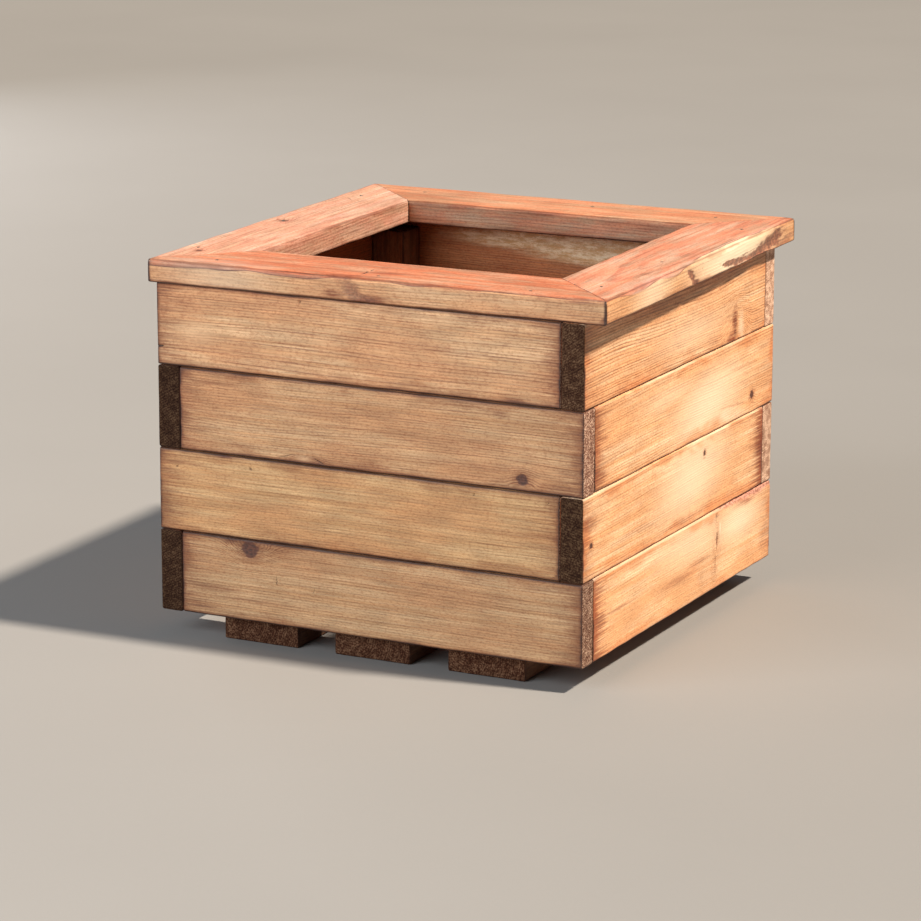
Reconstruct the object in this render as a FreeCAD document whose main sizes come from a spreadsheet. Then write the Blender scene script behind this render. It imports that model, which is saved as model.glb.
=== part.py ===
import FreeCAD
import Part
import os
import Sketcher

# A square planter box of planed softwood, built the way a joiner builds it.
#
# Four courses of equal boards are butt-jointed in a pinwheel that turns over at each course, and screwed
# from the inside to four corner posts. A mitred frame of four boards is nailed on top as a cap. Three
# slats run from front to back below the box as its feet and its floor, and hang from two bearers.
#
# Row frame: +Z is up, +X is to the right and -Y is the front. The origin is on the ground under the
# centre of the cap. The box itself stands a little to the left of it and in front of it, because the cap
# was fitted by hand, off centre and slightly turned.

DIMENSIONS = [
    ("board_length", 500.0, "every wall board and every base slat"),
    ("board_width", 95.0, "planed 100 mm board"),
    ("board_thick", 28.0, "planed 32 mm board"),
    ("board_ease", 3.0, "radius of a board's long edges"),
    ("post_side", 44.0, "planed 47 mm square, posts and bearers"),
    ("post_ease", 2.0, "radius of a post's long edges"),
    ("post_gap", 12.0, "from a post's top to the cap"),
    ("cap_outer", 556.0, "outer side of the mitred cap"),
    ("cap_shift_right", 4.0, "how far the cap's centre is right of the box's"),
    ("cap_shift_back", 9.0, "how far the cap's centre is behind the box's"),
    ("cap_turn", 1.2, "degrees that the cap is turned on the box"),
    ("cap_outer_round", 6.0, "radius of the cap's outer top edge"),
    ("cap_inner_round", 4.0, "radius of the cap's inner top edge"),
    ("cap_under_ease", 2.5, "radius of the cap's lower edges"),
    ("screw_length", 60.0, "countersunk wood screw"),
    ("screw_radius", 2.25, "shank"),
    ("screw_head_radius", 4.5, "countersunk head"),
    ("screw_point", 6.0, "length of the pointed end"),
    ("screw_sink", 0.5, "depth of a head below the wood"),
    ("screw_drive", 3.0, "side of the square drive recess"),
    ("screw_drive_depth", 1.8, "depth of the square drive recess"),
    ("screw_high", 35.0, "screws into front and back boards, above a board's lower edge"),
    ("screw_low", 20.0, "screws into side boards, above a board's lower edge"),
    ("pilot_spare", 1.0, "pilot hole past the screw's point"),
    ("bearer_screw_height", 22.0, "above the bearer's lower face"),
    ("bearer_screw_pitch", 75.0, "between the screws of a bearer"),
    ("slat_screw_pitch", 50.0, "between the two screws at a slat's end"),
    ("nail_length", 50.0, "lost-head nail"),
    ("nail_radius", 1.35, "shank"),
    ("nail_point", 2.7, "length of the pointed end"),
    ("nail_head_radius", 2.0, "head"),
    ("nail_head_height", 2.5, "head"),
    ("nail_sink", 0.3, "depth of a nail's head below the cap's top"),
    ("nail_reach", 193.0, "from a wall's middle to its outer nails"),
]
COURSES = 4
SLAT_NAMES = ["left", "middle", "right"]
SLATS = len(SLAT_NAMES)
WALLS = ["front", "right", "back", "left"]
CORNERS = ["front_left", "front_right", "back_right", "back_left"]
# Place of each wall's middle cap nail from the wall's middle, rightwards seen from outside.
MIDDLE_NAIL = {"front": 10.0, "right": -35.0, "back": -33.0, "left": 0.0}

doc = FreeCAD.newDocument("planter_box")
sheet = doc.addObject("Spreadsheet::Sheet", "Sizes")
for line_number, (alias, number, meaning) in enumerate(DIMENSIONS, start=1):
    sheet.set(f"A{line_number}", alias)
    sheet.set(f"B{line_number}", str(number))
    sheet.set(f"C{line_number}", meaning)
    sheet.setAlias(f"B{line_number}", alias)
doc.recompute()
size = {alias: float(sheet.get(alias)) for alias, number, meaning in DIMENSIONS}

# Sizes that follow from the driving ones: as expressions, for the sketches, and as numbers, for the places.
POST_HEIGHT = f"(Sizes.board_width * {COURSES} - Sizes.post_gap)"
CAP_HALF = "(Sizes.cap_outer / 2)"
PILOT_DEPTH = "(Sizes.screw_length - Sizes.screw_sink - Sizes.post_side + Sizes.pilot_spare)"
COUNTERSINK = "(Sizes.screw_head_radius - Sizes.screw_radius + Sizes.screw_sink)"
INNER_SIDE = "(Sizes.board_length - Sizes.board_thick)"
BEARER_LENGTH = f"({INNER_SIDE} - 2 * Sizes.post_side)"
SLAT_PITCH = f"(({INNER_SIDE} - {SLATS} * Sizes.board_width) / {SLATS + 1} + Sizes.board_width)"
SLAT_LINES = [f"({number - (SLATS - 1) / 2} * {SLAT_PITCH})" for number in range(SLATS)]

inner_half = (size["board_length"] - size["board_thick"]) / 2
post_line = inner_half - size["post_side"] / 2
wall_bottom = size["board_thick"]
cap_bottom = wall_bottom + COURSES * size["board_width"]
cap_top = cap_bottom + size["board_thick"]
bearer_length = 2 * (inner_half - size["post_side"])
slat_gap = (2 * inner_half - SLATS * size["board_width"]) / (SLATS + 1)
slat_pitch = size["board_width"] + slat_gap
slat_lines = [slat_pitch * (number - (SLATS - 1) / 2) for number in range(SLATS)]

UP = FreeCAD.Vector(0, 0, 1)
box_centre = FreeCAD.Placement(
    FreeCAD.Vector(-size["cap_shift_right"], -size["cap_shift_back"], 0), FreeCAD.Rotation()
)
cap_centre = FreeCAD.Placement(FreeCAD.Vector(0, 0, cap_bottom), FreeCAD.Rotation(UP, size["cap_turn"]))
nodes = []


def move(x, y, z):
    return FreeCAD.Placement(FreeCAD.Vector(x, y, z), FreeCAD.Rotation())


def quarter_turns(count):
    return FreeCAD.Placement(FreeCAD.Vector(), FreeCAD.Rotation(UP, 90 * count))


def new_body(name):
    body = doc.addObject("PartDesign::Body", name)
    body.Label = name
    return body


def add_node(piece, placement):
    """Puts a finished sub-part in its place and lists it for export."""
    piece.Placement = placement
    nodes.append(piece)


def sketch_on(body, role, name, offset=None):
    """A sketch on one of the body's own origin planes, moved along the plane's normal by an expression."""
    plane = next(feature for feature in body.Origin.OriginFeatures if feature.Role == role)
    sketch = body.newObject("Sketcher::SketchObject", name)
    sketch.AttachmentSupport = (plane, [""])
    sketch.MapMode = "FlatFace"
    if offset:
        sketch.setExpression("AttachmentOffset.Base.z", offset)
    return sketch


def bind(sketch, kind, *where, to):
    """A dimension of the sketch that follows an expression."""
    index = sketch.addConstraint(Sketcher.Constraint(kind, *where, 1.0))
    sketch.setExpression(f"Constraints[{index}]", to)


def add_outline(sketch, corners):
    """A closed outline. Each corner is two expressions, measured from the sketch's origin."""
    count = len(corners)
    points = [FreeCAD.Vector(*[float(sheet.evalExpression(term)) for term in corner]) for corner in corners]
    first = len(sketch.Geometry)
    for number in range(count):
        sketch.addGeometry(Part.LineSegment(points[number], points[(number + 1) % count]))
    for number in range(count):
        sketch.addConstraint(
            Sketcher.Constraint("Coincident", first + number, 2, first + (number + 1) % count, 1)
        )
    for number, (across, along) in enumerate(corners):
        fix_point(sketch, first + number, 1, across, along)


def fix_point(sketch, element, point, across, along):
    for kind, term in (("DistanceX", across), ("DistanceY", along)):
        if term == "0":
            on_axis = Sketcher.Constraint(
                "PointOnObject", element, point, -2 if kind == "DistanceX" else -1
            )
            sketch.addConstraint(on_axis)
        else:
            bind(sketch, kind, -1, 1, element, point, to=term)


def add_rectangle(sketch, width, height):
    add_outline(sketch, [("0", "0"), (width, "0"), (width, height), ("0", height)])


def add_circle(sketch, across, along, radius):
    centre = FreeCAD.Vector(*[float(sheet.evalExpression(term)) for term in (across, along)])
    element = sketch.addGeometry(Part.Circle(centre, UP, float(sheet.evalExpression(radius))))
    bind(sketch, "Radius", element, to=radius)
    fix_point(sketch, element, 3, across, along)


def pad(body, sketch, length):
    feature = body.newObject("PartDesign::Pad", "Pad")
    feature.Profile = sketch
    feature.setExpression("Length", length)
    doc.recompute()
    return feature


def pocket(body, sketch, depth=None, reverse=False):
    """Cuts the sketch to a depth, or right through, and makes sure that it did cut."""
    volume = body.Shape.Volume
    feature = body.newObject("PartDesign::Pocket", "Pocket")
    feature.Profile = sketch
    feature.Reversed = reverse
    if depth:
        feature.setExpression("Length", depth)
    else:
        feature.Type = "ThroughAll"
    doc.recompute()
    if not body.Shape.Volume < volume:
        raise RuntimeError(f"{body.Label}: a pocket cut nothing")
    return feature


def dress(body, kind, radius, chosen):
    """Rounds or chamfers the edges of the body that the test chooses."""
    base = body.Tip
    names = [f"Edge{number}" for number, edge in enumerate(base.Shape.Edges, start=1) if chosen(edge)]
    if not names:
        raise RuntimeError(f"{body.Label}: no edge to {kind}")
    feature = body.newObject(f"PartDesign::{kind}", kind)
    feature.Base = (base, names)
    feature.setExpression("Radius" if kind == "Fillet" else "Size", radius)
    doc.recompute()
    return feature


def runs_along(axis):
    """A test for straight edges along one axis."""

    def test(edge):
        if not isinstance(edge.Curve, Part.Line):
            return False
        return abs(abs(getattr(edge.Curve.Direction, axis)) - 1) < 1e-6

    return test


def ring_at(axis, height):
    """A test for round edges of holes whose centre is at one height along an axis."""

    def test(edge):
        if not isinstance(edge.Curve, Part.Circle):
            return False
        return abs(getattr(edge.Curve.Center, axis) - height) < 1e-6

    return test


def add_countersinks(body, axis, height):
    dress(body, "Chamfer", COUNTERSINK, ring_at(axis, height))


def nail_terms(wall):
    """Places of a wall's three cap nails from the wall's middle, rightwards seen from outside."""
    return ["(0 - Sizes.nail_reach)", f"(0 + {MIDDLE_NAIL[wall]})", "(0 + Sizes.nail_reach)"]


def nail_places(wall):
    """The same places as numbers."""
    return [-size["nail_reach"], MIDDLE_NAIL[wall], size["nail_reach"]]


# Local frame of a wall board and of a slat: X along it from one end, Y from its outer face inwards,
# Z up from its lower edge.
def plain_board(name):
    body = new_body(name)
    section = sketch_on(body, "YZ_Plane", "Section")
    add_rectangle(section, "Sizes.board_thick", "Sizes.board_width")
    pad(body, section, "Sizes.board_length")
    dress(body, "Fillet", "Sizes.board_ease", runs_along("x"))
    return body


def wall_board(wall, course):
    """One board. Course 1 is the top one. Odd courses start at the wall's left end, seen from outside."""
    body = plain_board(f"{wall}_board_{course}")
    side = "-" if course % 2 == 1 else "+"
    start = f"(0 - Sizes.board_length / 2 {side} Sizes.board_thick / 2)"
    post_middle = f"(({INNER_SIDE} - Sizes.post_side) / 2)"
    height = "Sizes.screw_high" if wall in ("front", "back") else "Sizes.screw_low"
    pilots = sketch_on(body, "XZ_Plane", "Pilots", "0 - Sizes.board_thick")
    for sign in (-1, 1):
        add_circle(pilots, f"({sign} * {post_middle} - {start})", height, "Sizes.screw_radius")
    if course == COURSES and wall in ("front", "back"):
        for number in (-1, 0, 1):
            across = f"({number} * Sizes.bearer_screw_pitch - {start})"
            add_circle(pilots, across, "Sizes.bearer_screw_height", "Sizes.screw_radius")
    pocket(body, pilots, PILOT_DEPTH, reverse=True)
    if course == 1:
        nail_holes = sketch_on(body, "XY_Plane", "Nail_holes", "Sizes.board_width")
        for along in nail_terms(wall):
            add_circle(nail_holes, f"({along} - {start})", "(Sizes.board_thick / 2)", "Sizes.nail_radius")
        pocket(body, nail_holes, "(Sizes.nail_length + Sizes.nail_sink - Sizes.board_thick)")
    outside = inner_half + size["board_thick"]
    lower_edge = wall_bottom + (COURSES - course) * size["board_width"]
    in_wall = move(float(sheet.evalExpression(start)), -outside, lower_edge)
    add_node(body, box_centre * quarter_turns(WALLS.index(wall)) * in_wall)


# Local frame of a post: X and Y inwards from the two wall faces that it touches, Z up.
def corner_post(number):
    body = new_body(f"corner_post_{CORNERS[number]}")
    section = sketch_on(body, "XY_Plane", "Section")
    add_rectangle(section, "Sizes.post_side", "Sizes.post_side")
    pad(body, section, POST_HEIGHT)
    dress(body, "Fillet", "Sizes.post_ease", runs_along("z"))
    high, low = ("Sizes.screw_high", "Sizes.screw_low")
    along_y, along_x = (high, low) if number % 2 == 0 else (low, high)
    for role, term, reverse in (("XZ_Plane", along_y, False), ("YZ_Plane", along_x, True)):
        holes = sketch_on(body, role, "Holes")
        for course in range(COURSES):
            above = f"({course} * Sizes.board_width + {term})"
            add_circle(holes, "(Sizes.post_side / 2)", above, "Sizes.screw_radius")
        pocket(body, holes, reverse=reverse)
    add_countersinks(body, "y", size["post_side"])
    add_countersinks(body, "x", size["post_side"])
    corner = move(-inner_half, -inner_half, wall_bottom)
    add_node(body, box_centre * quarter_turns(number) * corner)


# Local frame of a bearer: X along it from one end, Y inwards from the wall, Z up.
def floor_bearer(wall):
    body = new_body(f"floor_bearer_{wall}")
    section = sketch_on(body, "YZ_Plane", "Section")
    add_rectangle(section, "Sizes.post_side", "Sizes.post_side")
    pad(body, section, BEARER_LENGTH)
    dress(body, "Fillet", "Sizes.post_ease", runs_along("x"))
    holes = sketch_on(body, "XZ_Plane", "Holes")
    for number in (-1, 0, 1):
        across = f"({BEARER_LENGTH} / 2 + {number} * Sizes.bearer_screw_pitch)"
        add_circle(holes, across, "Sizes.bearer_screw_height", "Sizes.screw_radius")
    pocket(body, holes)
    add_countersinks(body, "y", size["post_side"])
    pilots = sketch_on(body, "XY_Plane", "Pilots")
    for line in range(SLATS):
        for side in (-0.5, 0.5):
            across = f"({BEARER_LENGTH} / 2 + {SLAT_LINES[line]} + {side} * Sizes.slat_screw_pitch)"
            add_circle(pilots, across, "(Sizes.post_side / 2)", "Sizes.screw_radius")
    depth = "(Sizes.screw_length + Sizes.screw_sink - Sizes.board_thick + Sizes.pilot_spare)"
    pocket(body, pilots, depth, reverse=True)
    in_wall = move(-bearer_length / 2, -inner_half, wall_bottom)
    add_node(body, box_centre * quarter_turns(WALLS.index(wall)) * in_wall)


def base_slat(number):
    """A slat, laid flat with its outer face down. Its screws come up from below into the bearers."""
    body = plain_board(f"base_slat_{SLAT_NAMES[number]}")
    from_end = "((Sizes.board_thick + Sizes.post_side) / 2)"
    holes = sketch_on(body, "XZ_Plane", "Holes")
    for across in (from_end, f"(Sizes.board_length - {from_end})"):
        for side in (-0.5, 0.5):
            above = f"(Sizes.board_width / 2 + {side} * Sizes.slat_screw_pitch)"
            add_circle(holes, across, above, "Sizes.screw_radius")
    pocket(body, holes)
    add_countersinks(body, "y", 0)
    # Local X goes to the back, local Y up and local Z to the right.
    laid_flat = FreeCAD.Rotation(
        FreeCAD.Vector(0, 1, 0), FreeCAD.Vector(0, 0, 1), FreeCAD.Vector(1, 0, 0), "ZXY"
    )
    left_edge = slat_lines[number] - size["board_width"] / 2
    place = FreeCAD.Placement(FreeCAD.Vector(left_edge, -size["board_length"] / 2, 0), laid_flat)
    add_node(body, box_centre * place)


# Local frame of a cap board: the cap's own centre, with the board on its front side.
def cap_board(wall):
    body = new_body(f"cap_{wall}")
    outline = sketch_on(body, "XY_Plane", "Outline")
    inner = f"({CAP_HALF} - Sizes.board_width)"
    corners = [("-", CAP_HALF), ("+", CAP_HALF), ("+", inner), ("-", inner)]
    add_outline(outline, [(f"(0 {side} {half})", f"(0 - {half})") for side, half in corners])
    pad(body, outline, "Sizes.board_thick")
    half = size["cap_outer"] / 2
    rounds = [
        ("Sizes.cap_outer_round", half, size["board_thick"]),
        ("Sizes.cap_inner_round", half - size["board_width"], size["board_thick"]),
        ("Sizes.cap_under_ease", half, 0),
        ("Sizes.cap_under_ease", half - size["board_width"], 0),
    ]
    for radius, distance, height in rounds:
        dress(body, "Fillet", radius, long_edge_at(-distance, height))
    holes = sketch_on(body, "XY_Plane", "Nail_holes")
    heads = sketch_on(body, "XY_Plane", "Nail_heads", "Sizes.board_thick")
    for along in nail_terms(wall):
        across, back = cap_terms(wall, along)
        add_circle(holes, across, back, "Sizes.nail_radius")
        add_circle(heads, across, back, "Sizes.nail_head_radius")
    pocket(body, holes, reverse=True)
    pocket(body, heads, "(Sizes.nail_head_height + Sizes.nail_sink)")
    add_node(body, cap_centre * quarter_turns(WALLS.index(wall)))


def long_edge_at(y, z):
    """A test for the edge along X at one place in the section."""
    along = runs_along("x")

    def test(edge):
        centre = edge.CenterOfMass
        return along(edge) and abs(centre.y - y) < 1e-6 and abs(centre.z - z) < 1e-6

    return test


def cap_terms(wall, along):
    """A point on a wall's centre line, as expressions in the frame of the cap board above it."""
    right, back = [
        ("Sizes.cap_shift_right", "Sizes.cap_shift_back"),
        ("Sizes.cap_shift_back", "(0 - Sizes.cap_shift_right)"),
        ("(0 - Sizes.cap_shift_right)", "(0 - Sizes.cap_shift_back)"),
        ("(0 - Sizes.cap_shift_back)", "Sizes.cap_shift_right"),
    ][WALLS.index(wall)]
    x = f"({along} - {right})"
    y = f"(0 - Sizes.board_length / 2 - {back})"
    cosine = "cos(Sizes.cap_turn * 1 deg)"
    sine = "sin(Sizes.cap_turn * 1 deg)"
    return (f"({x} * {cosine} + {y} * {sine})", f"({y} * {cosine} - {x} * {sine})")


# Local frame of a screw and of a nail: the head's face is at Z = 0 and the point is below it.
def wood_screw():
    body = new_body("wood_screw")
    profile = sketch_on(body, "XZ_Plane", "Profile")
    shank = "Sizes.screw_radius"
    head = "Sizes.screw_head_radius"
    outline = [
        ("0", "(0 - Sizes.screw_length)"),
        (shank, "(0 - Sizes.screw_length + Sizes.screw_point)"),
        (shank, f"({shank} - {head})"),
        (head, "0"),
        ("0", "0"),
    ]
    spin(body, profile, outline)
    drive = sketch_on(body, "XY_Plane", "Drive")
    corners = [("-", "-"), ("+", "-"), ("+", "+"), ("-", "+")]
    half = "Sizes.screw_drive / 2"
    add_outline(drive, [(f"(0 {across} {half})", f"(0 {along} {half})") for across, along in corners])
    pocket(body, drive, "Sizes.screw_drive_depth")
    return body


def lost_head_nail():
    body = new_body("lost_head_nail")
    profile = sketch_on(body, "XZ_Plane", "Profile")
    shank = "Sizes.nail_radius"
    head = "Sizes.nail_head_radius"
    outline = [
        ("0", "(0 - Sizes.nail_length)"),
        (shank, "(0 - Sizes.nail_length + Sizes.nail_point)"),
        (shank, "(0 - Sizes.nail_head_height)"),
        (head, "(0 - Sizes.nail_head_height)"),
        (head, "0"),
        ("0", "0"),
    ]
    spin(body, profile, outline)
    return body


def spin(body, sketch, outline):
    add_outline(sketch, outline)
    feature = body.newObject("PartDesign::Revolution", "Turned")
    feature.Profile = sketch
    feature.ReferenceAxis = (sketch, ["V_Axis"])
    feature.Angle = 360
    doc.recompute()
    return feature


def fastener_group(name, fastener, places):
    """Identical fasteners as one sub-part: a group of separate solids, each linked to the same model."""
    links = []
    for number, place in enumerate(places, start=1):
        link = doc.addObject("App::Link", f"{name}_{number}")
        link.LinkedObject = fastener
        link.Placement = place
        links.append(link)
    group = doc.addObject("Part::Compound", name)
    group.Label = name
    group.Links = links
    doc.recompute()
    nodes.append(group)


def driven(direction):
    """The turn that points a fastener in one direction."""
    return FreeCAD.Placement(FreeCAD.Vector(), FreeCAD.Rotation(FreeCAD.Vector(0, 0, -1), direction))


def wall_screw_places():
    outward = {"x": FreeCAD.Vector(-1, 0, 0), "y": FreeCAD.Vector(0, -1, 0)}
    places = []
    for number in range(len(CORNERS)):
        high, low = size["screw_high"], size["screw_low"]
        height_y, height_x = (high, low) if number % 2 == 0 else (low, high)
        face = -inner_half + size["post_side"] - size["screw_sink"]
        for course in range(COURSES):
            base = wall_bottom + course * size["board_width"]
            for place, axis in (
                (move(-post_line, face, base + height_y), "y"),
                (move(face, -post_line, base + height_x), "x"),
            ):
                places.append(box_centre * quarter_turns(number) * place * driven(outward[axis]))
    return places


def bearer_screw_places():
    places = []
    for wall in ("front", "back"):
        turns = quarter_turns(WALLS.index(wall))
        face = -inner_half + size["post_side"] - size["screw_sink"]
        for number in (-1, 0, 1):
            height = wall_bottom + size["bearer_screw_height"]
            place = move(number * size["bearer_screw_pitch"], face, height)
            places.append(box_centre * turns * place * driven(FreeCAD.Vector(0, -1, 0)))
    return places


def slat_screw_places():
    places = []
    for line in slat_lines:
        for end in (-post_line, post_line):
            for side in (-0.5, 0.5):
                place = move(line + side * size["slat_screw_pitch"], end, size["screw_sink"])
                places.append(box_centre * place * driven(UP))
    return places


def cap_nail_places():
    places = []
    line = -inner_half - size["board_thick"] / 2
    for turns, wall in enumerate(WALLS):
        for along in nail_places(wall):
            place = move(along, line, cap_top - size["nail_sink"])
            places.append(box_centre * quarter_turns(turns) * place)
    return places


def check_and_export():
    doc.recompute()
    failed = [thing.Label for thing in doc.Objects if {"Invalid", "Error"} & set(thing.State)]
    if failed:
        raise RuntimeError(f"failed objects: {failed}")
    for piece in nodes:
        if piece.Shape.isNull() or not piece.Shape.isValid():
            raise RuntimeError(f"{piece.Label}: no valid shape")
    os.makedirs("parts", exist_ok=True)
    for piece in nodes:
        piece.Shape.exportStep(f"parts/{piece.Label}.step")
    print(f"{len(nodes)} sub-parts written")


for wall_name in WALLS:
    for course_number in range(1, COURSES + 1):
        wall_board(wall_name, course_number)
for corner_number in range(len(CORNERS)):
    corner_post(corner_number)
for wall_name in WALLS:
    cap_board(wall_name)
for wall_name in ("front", "back"):
    floor_bearer(wall_name)
for slat_number in range(SLATS):
    base_slat(slat_number)

screw = wood_screw()
nail = lost_head_nail()
fastener_group("wall_screws", screw, wall_screw_places())
fastener_group("bearer_screws", screw, bearer_screw_places())
fastener_group("slat_screws", screw, slat_screw_places())
fastener_group("cap_nails", nail, cap_nail_places())
check_and_export()
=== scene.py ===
"""Looks of the planter box: timber, stain and fasteners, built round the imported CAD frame.

Lengths of timber, spots and grain are in millimetres; Blender's own coordinates are in metres.
Each timber has its own axes: along the grain, across its width, and out of its good face.
"""
import math
from collections import namedtuple

import bpy
import numpy as np
from mathutils import Matrix, Vector


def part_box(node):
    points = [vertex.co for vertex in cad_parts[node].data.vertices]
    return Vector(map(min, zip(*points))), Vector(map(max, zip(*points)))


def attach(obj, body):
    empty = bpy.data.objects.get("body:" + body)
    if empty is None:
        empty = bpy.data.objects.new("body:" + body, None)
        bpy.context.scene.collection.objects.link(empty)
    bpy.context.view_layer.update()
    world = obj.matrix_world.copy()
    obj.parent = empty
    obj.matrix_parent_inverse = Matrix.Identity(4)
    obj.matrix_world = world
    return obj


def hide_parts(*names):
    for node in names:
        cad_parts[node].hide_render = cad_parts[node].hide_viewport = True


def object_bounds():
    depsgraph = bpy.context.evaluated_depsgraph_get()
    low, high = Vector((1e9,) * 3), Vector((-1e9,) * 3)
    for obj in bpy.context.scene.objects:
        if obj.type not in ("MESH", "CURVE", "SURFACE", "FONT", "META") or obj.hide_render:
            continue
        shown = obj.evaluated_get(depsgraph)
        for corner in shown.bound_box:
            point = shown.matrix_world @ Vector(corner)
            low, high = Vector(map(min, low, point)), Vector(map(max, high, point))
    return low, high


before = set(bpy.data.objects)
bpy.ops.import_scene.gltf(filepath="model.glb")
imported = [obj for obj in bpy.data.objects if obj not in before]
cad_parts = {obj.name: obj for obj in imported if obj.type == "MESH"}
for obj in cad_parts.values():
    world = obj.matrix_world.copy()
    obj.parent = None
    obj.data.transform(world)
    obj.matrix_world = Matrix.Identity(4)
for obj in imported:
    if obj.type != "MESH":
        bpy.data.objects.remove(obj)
cad_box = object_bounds()

MM = 0.001
TO_MM = (1000, 1000, 1000)                      # scales a node's coordinates from metres
SIDES = ("front", "right", "back", "left")      # anticlockwise seen from above, a quarter turn each
COURSES = (1, 2, 3, 4)                          # the top course is 1

CAP_TURN = math.radians(1.2)                    # the mitred cap sits slightly turned on the box
CAP_WIDTH = 95.0
CAP_OUTER_ROUND, CAP_INNER_ROUND, CAP_UNDER_EASE = 6.0, 4.0, 2.5
BOARD_EASE = 3.0
ROUGH_EASE = 2.0
END_EASE = 1.4
MITRE_EASE = 0.6

FASTENERS = ("wall_screws", "bearer_screws", "slat_screws", "cap_nails")
HEAD_SINK = (0.2, 0.6)                          # how deep fastener heads lie under the wood's face
HEAD_SPACE = 12.0                               # points of one head lie closer together than this
DIMPLE_RIM, DIMPLE_DEPTH = 0.35, 1.0            # the hollow round a head
DIMPLE_OUTER, DIMPLE_WALL = 1.35, 0.3           # in head radii: where a hollow starts, how wide its wall is

ARC_ANGLES = (0, 15, 30, 45)                    # mesh lines in half of a rounded arris
MESH_STEP = (6.0, 4.0, 4.0)                     # mesh lines elsewhere: along, across and out
MARK_LINES = (-1.3, -1, -0.7, -0.35, 0, 0.35, 0.7, 1, 1.3)     # at a sunk mark, in units of its size
FINE_REACH = 12.0                               # a larger mark counts as this large there
LEAST_STEP = 0.3
FIRST_STEP = 0.8                                # from a rounded arris to the next mesh line
WAVE_COUNT = 7                                  # sine waves summed into one smooth noise
ARRIS_WAVES, ARRIS_UNEVEN = (40, 400, 400), 0.22       # how unevenly the arrises are rounded
SWELL_WAVES = (170, 60, 60)                     # the faces' long waves
RELIEF_WAVES, RELIEF = (30, 9, 9), 0.06         # and their short ones
HOLLOW_OUTER, HOLLOW_WALL = 1.25, 0.75          # in spot sizes: the same for a sunk spot
MITRE_TIP, MITRE_CLEAR = 9, 3                   # a mitre holds dirt only this near to its outer corner

Spot = namedtuple("Spot", "kind at size tilt depth strength")
Look = namedtuple("Look", "light dark late stain tint edge pale rough fibre")


# ---------------------------------------------------------------- marks in the wood

def knot(along, across, radius, strength=1.0, stretch=1.1, depth=0.5):
    """A knot that runs through the board's thickness."""
    return Spot("knot", (along, across, 0), (radius * stretch, radius, 200), 0, depth, strength)


def stain(along, across, length, height, strength=0.5, tilt=0, out=0, thick=200):
    """A soft darker patch, feathered along the grain."""
    return Spot("stain", (along, across, out), (length, height, thick), tilt, 0, strength)


def pale(along, across, length, height, strength=0.4, tilt=0):
    """A soft lighter patch: paler wood, and painted sheen on the right wall and along cap_right's outer
    arris; on a cap board it also keeps the second coat thin.
    """
    return Spot("pale", (along, across, 0), (length, height, 200), tilt, 0, strength)


def crack(along, across, length, height, tilt=0, strength=0.9, depth=0.6):
    """A dark check or a small deep nick in the outer face."""
    return Spot("crack", (along, across, 20), (length, height, 21), tilt, depth, strength)


def swirl(along, across, length, height, rings=4):
    """Grain that arches round a knot which lies under the surface, with that many more rings."""
    return Spot("swirl", (along, across, 0), (length, height, 200), 0, 0, rings)


def bloom(along, across, length, height, strength=1.0):
    """A pale weathered patch on the inner face of a wall board."""
    return Spot("bloom", (along, across, -14), (length, height, 12), 0, 0, strength)


def wane(along, length, across, size, depth):
    """A stretch of upper front arris that is torn away."""
    return Spot("wane", (along, across, 14), (length, size, size), 0, depth, 1.0)


def edge_scar(along, up, length, height, tilt=0, depth=1.2, strength=0.9):
    """Bark or a torn knot on the outer edge of a cap board; up is from the board's mid-thickness."""
    return Spot("scar", (along, -CAP_WIDTH / 2, up), (length, 7, height), tilt, depth, strength)


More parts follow.
